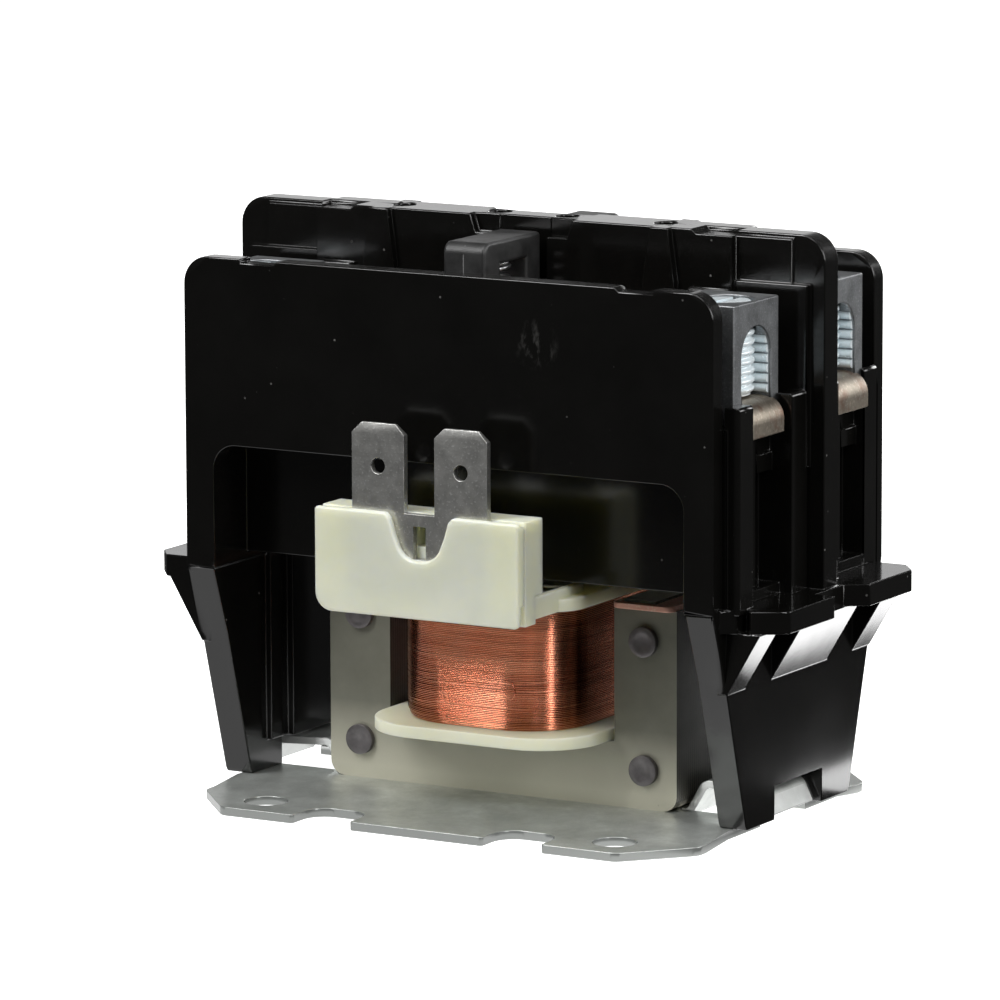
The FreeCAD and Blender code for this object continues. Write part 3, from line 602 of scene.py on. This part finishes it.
def turn_path(half_x, half_y, z, rise, rng, steps=9):
    """One turn round the spool, its corners round and its height wandering a little."""
    path = []
    wander = 0.005
    radius = CORNER_R - (CORNER_CUT - min(CORNER_CUT, DEEP_X - half_x))
    centres = [(half_x - radius, half_y - radius, 0), (-half_x + radius, half_y - radius, 90),
               (-half_x + radius, -half_y + radius, 180), (half_x - radius, -half_y + radius, 270)]
    for cx, cy, start in centres:
        path += arc((cx, cy), radius, start, start + 90, steps)
    count = len(path)
    wobble = [rng.uniform(-wander, wander) for _ in range(count)]
    return [(x, y, z + rise * i / count + wobble[i]) for i, (x, y) in enumerate(path)]


def winding():
    """The outer layer as separate turns over a core block, with strays and one loose loop laid on it."""
    rng = random.Random(11)
    core_depth, end_fade, stray_sink = 0.35, 0.5, 0.04
    strays = ((13.0, 2.6, 0.03), (15.8, -1.9, 0.04), (19.2, 1.4, 0.02), (11.4, 1.2, 0.05))
    loop_centre, loop_r, loop_wire, loop_lift = (4.4, 14.2), 1.1, 0.05, 0.02
    low, high = in_mm("coil_winding")
    half_x, half_y = high.x - WIRE / 2, high.y - WIRE / 2
    count = int((high.z - low.z) / WIRE)
    parts = []
    for i in range(count):
        z = low.z + WIRE / 2 + i * (high.z - low.z - WIRE) / (count - 1)
        ends = core_depth * math.exp(-min(z - low.z, high.z - z) / end_fade)
        inset = ends + rng.choice((0.0, 0.0, 0.01, 0.03))
        parts.append(tube(turn_path(half_x - inset, half_y - inset, z, 0, rng), WIRE / 2, 6, True))
    block = []
    for z in (low.z, high.z):
        ring = turn_path(half_x - core_depth, half_y - core_depth, z, 0, random.Random(1))
        block += [(x, y, z) for x, y, _ in ring]
    size = len(block) // 2
    sides = [(i, (i + 1) % size, size + (i + 1) % size, size + i) for i in range(size)]
    parts.append((block, sides + [tuple(range(size)), tuple(range(size, 2 * size))]))
    for start, rise, lift in strays:
        out = lift - stray_sink
        parts.append(tube(turn_path(half_x + out, half_y + out, start, rise, rng), WIRE / 2, 6, False))
    loop = [(x, -half_y - loop_lift, z) for x, z in arc(loop_centre, loop_r, -60, 230, 20)]
    parts.append(tube(loop, loop_wire, 6))
    mesh = mesh_from("winding_turns", parts, 80)
    add_piece("winding_turns", mesh, MATERIALS["enamelled_copper"], "base",
              ["coil_winding"])


# ---- screws and springs ----

def threaded_shank(low, high, pitch=1.0, depth=0.42, steps=40, rows=12):
    """A rod whose surface rises and falls along a helix, tapering into plain ends."""
    radius = (high.x - low.x) / 2 - 0.02
    centre = ((low.x + high.x) / 2, (low.y + high.y) / 2)
    total = high.z - low.z
    foot_taper, head_taper = 0.6, 0.4
    crest_share, slope = 1.6, 3.6
    count = int(total / pitch * rows)
    points, faces = [], []
    for i in range(count + 1):
        z = low.z + total * i / count
        edge = max(min(1.0, (z - low.z) / foot_taper, (high.z - z) / head_taper), 0.0)
        for k in range(steps):
            share = k / steps
            phase = ((z - low.z) / pitch - share) % 1.0
            crest = max(0.0, min(1.0, crest_share - abs(phase - 0.5) * slope))
            r = radius - depth * (1 - crest * edge)
            turn = 2 * math.pi * share
            points.append((centre[0] + r * math.cos(turn), centre[1] + r * math.sin(turn), z))
    for i in range(count):
        for k in range(steps):
            m = (k + 1) % steps
            faces.append((i * steps + k, i * steps + m, (i + 1) * steps + m, (i + 1) * steps + k))
    faces.append(tuple(range(steps)))
    faces.append(tuple(count * steps + k for k in range(steps)))
    return points, faces


def clamp_screws():
    """Four threaded screws, each with a driver slot."""
    slot_half, slot_depth = 0.5, 1.6
    for corner in CORNERS:
        node = "clamp_screw_" + corner
        low, high = in_mm(node)
        piece = add_object(node + "_thread", mesh_from(node, [threaded_shank(low, high)], 50))
        middle_x = (low.x + high.x) / 2
        outline = [(middle_x - slot_half, high.z - slot_depth), (middle_x + slot_half, high.z - slot_depth),
                   (middle_x + slot_half, high.z + 1), (middle_x - slot_half, high.z + 1)]
        cutter = add_object("cutter", mesh_from("cutter", [extruded(outline, low.y - 1, high.y + 1)]))
        cut = piece.modifiers.new("slot", "BOOLEAN")
        cut.operation = "DIFFERENCE"
        cut.object = cutter
        finished(piece)
        bpy.data.objects.remove(cutter)
        smooth(piece.data, 50)
        add_piece(node + "_thread", piece, MATERIALS["zinc_screw"], "screw_" + corner, [node])


def mouth_ridges():
    """Ridges that the clamp screw's thread has left on both walls of each lug's mouth."""
    mouth_half, arch_z, inset, length, ridge = 3.2, 51.3, 0.3, 2.0, 0.46
    lowest, pitch, count = 47.6, 1.05, 6
    for corner in CORNERS:
        low, high = in_mm("box_lug_" + corner)
        outward = 1 if corner.endswith("right") else -1
        outer = (high.x if outward > 0 else low.x) - outward * inset
        middle = (low.y + high.y) / 2
        parts = []
        for i in range(count):
            z = lowest + i * pitch
            half = math.sqrt(mouth_half ** 2 - max(z - arch_z, 0.0) ** 2)
            for side in (-half, half):
                line = [(outer, middle + side, z), (outer - outward * length, middle + side, z)]
                parts.append(tube(line, ridge, 10))
        mesh = mesh_from("mouth_ridges_" + corner, parts, 60)
        add_piece("mouth_ridges_" + corner, mesh, MATERIALS["zinc_screw"], "base", [])


def helix(low, high, wire, turns, steps=24):
    """A compression spring inside a box, its end turns closed."""
    radius = (high.x - low.x) / 2 - wire
    centre = ((low.x + high.x) / 2, (low.y + high.y) / 2)
    path = []
    closed = 1.0 / turns
    travel = high.z - low.z - 6 * wire
    for i in range(turns * steps + 1):
        share = i / (turns * steps)
        open_part = min(max((share - closed) / (1 - 2 * closed), 0.0), 1.0)
        first = min(share / closed, 1.0)
        last = max(share - 1 + closed, 0.0) / closed
        z = low.z + wire + travel * open_part + 2 * wire * (first + last)
        turn = 2 * math.pi * share * turns
        path.append((centre[0] + radius * math.cos(turn), centre[1] + radius * math.sin(turn), z))
    return tube(path, wire, 8)


def springs():
    """Contact springs under their bridges, and the two return springs."""
    contact_wire, return_wire, width = 0.22, 0.25, 3.6
    for side in ("front", "rear"):
        node = "contact_spring_" + side
        low, high = in_mm(node)
        mesh = mesh_from(node, [helix(low, high, contact_wire, 5)], 80)
        piece = add_piece(node + "_coil", mesh, MATERIALS["spring_steel"], "carrier", [node])
        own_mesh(piece)
    low, high = in_mm("return_springs")
    parts = []
    for x0, y0 in ((high.x - width, low.y), (low.x, high.y - width)):
        foot, top = Vector((x0, y0, low.z)), Vector((x0 + width, y0 + width, high.z))
        parts.append(helix(foot, top, return_wire, 8))
    mesh = mesh_from("return_spring_coils", parts, 80)
    piece = add_piece("return_spring_coils", mesh, MATERIALS["spring_steel"], "base",
                      ["return_springs"])
    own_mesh(piece)


# ---- moving contacts ----

TIP_R = 2.3            # radius of a contact tip


def carrier():
    """The moulded carrier, with the mould's parting line down the front of each arch."""
    piece = round_edges(cad_copy("contact_carrier", "carrier_moulding", False), 0.4, 3)
    filled = filled_moulding("filled_moulding", 0.010, 0.034)
    # The seams' moulding is a lighter grey than the carrier's, which is a painted highlight on the parting
    # line's ridge.
    seam_highlight_finish = filled_moulding("seam_painted_highlight", 0.08, 0.16)
    add_piece("carrier_moulding", piece, filled, "carrier", ["contact_carrier"])
    low, high = in_mm("contact_carrier")
    seam_r, sunk = 0.07, 0.02
    seams = []
    for face, out in ((low.y, -1), (high.y, 1)):
        line = [(0, face - sunk * out, high.z - 8), (0, face - sunk * out, high.z - 1.3),
                (0, face - 0.4 * out, high.z - 0.35), (0, face - 1.2 * out, high.z)]
        seams.append(tube(line, seam_r, 6))
    mesh = mesh_from("carrier_seams", seams, 80)
    add_piece("carrier_seams", mesh, seam_highlight_finish, "carrier", [])


def dome(base, crown):
    """A contact's domed profile from its flat base to its crown."""
    radius, soft, up = TIP_R, 0.3, math.copysign(1, crown - base)
    return [(radius, base), (radius, crown - 0.45 * up), (radius - soft, crown - 0.18 * up),
            (1.2, crown - 0.04 * up), (0.3, crown)]


def contact_tips():
    """Domed silver contacts on the straps and under the bridges."""
    silver = MATERIALS["silver_contact"]
    low, high = in_mm("fixed_contact_tips")
    columns, rows = (low.x + TIP_R, high.x - TIP_R), (low.y + TIP_R, high.y - TIP_R)
    parts = [revolved(dome(low.z, high.z), (x, y, 0)) for x in columns for y in rows]
    mesh = mesh_from("fixed_tips", parts, 50)
    add_piece("fixed_tips", mesh, silver, "base", ["fixed_contact_tips"])
    for side in ("front", "rear"):
        node = "bridge_tips_" + side
        low, high = in_mm(node)
        middle = (low.y + high.y) / 2
        profile = dome(high.z, low.z)[::-1]
        parts = [revolved(profile, (x, middle, 0)) for x in (low.x + TIP_R, high.x - TIP_R)]
        mesh = mesh_from(node, parts, 50)
        add_piece(node + "_dome", mesh, silver, "bridge_" + side, [node])


# ---- camera, floor and light ----

def add_camera():
    """A long lens at the front right, slightly above."""
    eye = Vector((382.39, -673.55, 163.85)) * MM
    back = Vector((0.49083, -0.85500, 0.16750)).normalized()
    right = Vector((0.86753, 0.49738, -0.00325)).normalized()
    up = back.cross(right).normalized()
    data = bpy.data.cameras.new("camera")
    data.sensor_width = 36.0
    data.lens = 263.76
    data.clip_start = 0.01
    camera = bpy.data.objects.new("camera", data)
    turn = Matrix((right, up, back)).transposed().to_4x4()
    camera.matrix_world = Matrix.Translation(eye) @ turn
    bpy.context.scene.collection.objects.link(camera)
    bpy.context.scene.camera = camera


def add_softbox(name, azimuth, height, distance, size, power):
    """A rectangular soft light; azimuth 0 is in front of the object and grows to the right."""
    data = bpy.data.lights.new(name, "AREA")
    data.shape = "RECTANGLE"
    data.size, data.size_y = size
    data.energy = power
    light = bpy.data.objects.new(name, data)
    turn = math.radians(azimuth)
    light.location = (distance * math.sin(turn), -distance * math.cos(turn), height)
    aim = Vector((0, 0, 0.03)) - light.location
    light.rotation_euler = aim.to_track_quat("-Z", "Y").to_euler()
    bpy.context.scene.collection.objects.link(light)


def add_stage():
    """White paper that glows in reflections under the object and in a strip beside its right end."""
    half = 3.0
    under_x, under_y, under_fade = (-62, 30), (-47, 24), 3
    beside_x, beside_y, beside_fade, beside_gain = (36, 42), (18, 72), 1, 1.9
    mesh = bpy.data.meshes.new("floor")
    corners = [(-half, -half, 0), (half, -half, 0), (half, half, 0), (-half, half, 0)]
    mesh.from_pydata(corners, [], [(0, 1, 2, 3)])
    floor = add_object("floor", mesh)
    finish = Finish("floor_paper", Base_Color=(0.85, 0.85, 0.85, 1), Roughness=0.9)
    where = finish.add("ShaderNodeSeparateXYZ", {"Vector": finish.place})
    under = finish.maths("MULTIPLY", finish.window(where.outputs["X"], *under_x, under_fade),
                         finish.window(where.outputs["Y"], *under_y, under_fade))
    beside = finish.maths("MULTIPLY", finish.window(where.outputs["X"], *beside_x, beside_fade),
                          finish.window(where.outputs["Y"], *beside_y, beside_fade))
    diagonal = finish.maths("ADD", where.outputs["X"], where.outputs["Y"])
    slope = finish.add("ShaderNodeMapRange", {"Value": diagonal, "From Min": -0.02, "From Max": 0.07,
                                              "To Min": 1.15, "To Max": 3.0}).outputs["Result"]
    glow = finish.maths("ADD", under, finish.maths("MULTIPLY", beside, beside_gain))
    glow = finish.maths("MULTIPLY", glow, slope)
    glow = finish.maths("ADD", glow, 0.05)
    lit = finish.add("ShaderNodeEmission", {"Color": (1, 1, 1, 1), "Strength": glow})
    seen = finish.add("ShaderNodeEmission", {"Color": (1, 1, 1, 1), "Strength": 0.95})
    paper = finish.add("ShaderNodeAddShader")
    finish.links.new(finish.surface.outputs[0], paper.inputs[0])
    finish.links.new(seen.outputs[0], paper.inputs[1])
    camera_ray = finish.add("ShaderNodeLightPath").outputs["Is Camera Ray"]
    choose = finish.add("ShaderNodeMixShader", {0: camera_ray})
    finish.links.new(lit.outputs[0], choose.inputs[1])
    finish.links.new(paper.outputs[0], choose.inputs[2])
    finish.links.new(choose.outputs[0], finish.nodes["Material Output"].inputs["Surface"])
    mesh.materials.append(finish.material)
    world = bpy.data.worlds.new("studio")
    world.use_nodes = True
    world.node_tree.nodes["Background"].inputs["Color"].default_value = (1, 1, 1, 1)
    world.node_tree.nodes["Background"].inputs["Strength"].default_value = 0.07
    bpy.context.scene.world = world


moulded_pieces()
metal_pieces()
coil_terminals()
magnet()
winding()
clamp_screws()
mouth_ridges()
springs()
carrier()
contact_tips()
for node, slot in (("coil_leads", "enamelled_copper"), ("armature_pin", "rivet_steel")):
    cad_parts[node].data.materials.clear()
    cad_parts[node].data.materials.append(MATERIALS[slot])

add_camera()
add_stage()
for light in (
    # name, azimuth, height, distance, (width, height), power
    ("left_box", -31, 0.46, 0.50, (0.14, 0.42), 2.9),
    ("right_box", 66, 0.34, 0.55, (0.09, 0.45), 1.9),
    ("side_box", 118, 0.24, 0.60, (0.46, 0.26), 2.2),
    ("overhead", 0, 0.62, 0.22, (0.50, 0.36), 2.3),
    ("rim_box", -150, 0.20, 0.75, (0.8, 0.22), 0.5),
    ("back_box", 178, 0.16, 0.60, (0.40, 0.20), 1.2),
):
    add_softbox(*light)
bpy.context.scene.view_settings.view_transform = "Standard"
